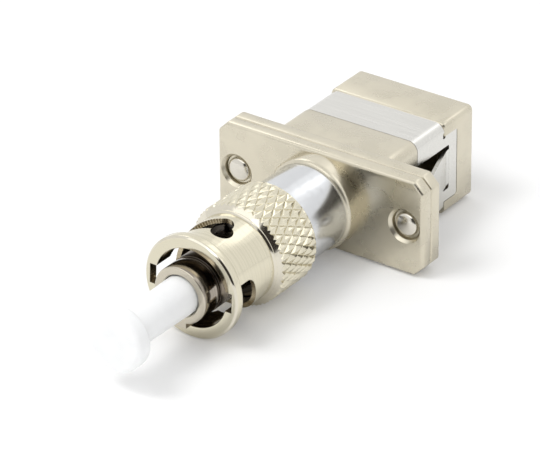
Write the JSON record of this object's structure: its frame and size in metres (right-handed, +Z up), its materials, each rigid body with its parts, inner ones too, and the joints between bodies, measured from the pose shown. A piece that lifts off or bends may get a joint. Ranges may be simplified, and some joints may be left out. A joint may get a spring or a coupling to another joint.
{
  "type": "hybrid fibre optic adapter",
  "caption": "Flanged metal fibre adapter: a capped bayonet plug nose with knurled slotted nut in front, a square push-pull socket with strap spring clip behind.",
  "frame": {"origin": "middle of the footprint, at the height of the lowest point, which is the bayonet nut's lip", "axes": "+Z up; the optical axis runs along Y with the nose and cap towards -Y and the square socket towards +Y; +X along the flange's long side"},
  "size_m": [0.022, 0.0456, 0.0097],
  "materials": {
    "cast_nickel": "nickel-plated zinc casting, satin",
    "turned_nickel": "nickel-plated turned brass",
    "polished_nickel": "polished",
    "dark_nickel": "dark nickel-plated brass, polished",
    "spring_steel": "bright rolled",
    "stainless": "satin",
    "zirconia": "polished",
    "glass_fibre": "polished",
    "moulded_white": "moulded",
    "soft_cap": "moulded"
  },
  "bodies": {
    "body": {"front_housing": "cast_nickel", "socket_housing": "cast_nickel", "rivet_left": "stainless", "rivet_right": "stainless", "spring_clip": "spring_steel", "latch_holder": "moulded_white", "sleeve_retainer": "moulded_white", "alignment_sleeve": "zirconia", "front_ferrule": "zirconia", "rear_ferrule": "zirconia", "fibre_stub": "glass_fibre", "ferrule_holder": "stainless", "barrel_tube": "polished_nickel", "keyed_nose": "dark_nickel", "thrust_washer": "stainless", "circlip": "spring_steel", "nut_spring": "spring_steel"},
    "nut_carrier": {"slip_washer": "stainless"},
    "nut": {"bayonet_nut": "turned_nickel"},
    "cap": {"dust_cap": "soft_cap"}
  },
  "joints": [
    {"name": "nut_slide", "type": "slide", "parent": "body", "child": "nut_carrier", "axis": [0, -1, 0], "range_m": [0, 0.0013], "stiffness_N_per_m": 1500, "springref_m": -0.003, "deforming": ["nut_spring"]},
    {"name": "nut_turn", "type": "hinge", "parent": "nut_carrier", "child": "nut", "pos_m": [0, -0.0075, 0.00486], "axis": [0, -1, 0], "continuous": true},
    {"name": "cap_pull", "type": "slide", "parent": "body", "child": "cap", "axis": [0, -1, 0], "range_m": [0, 0.012]}
  ]
}
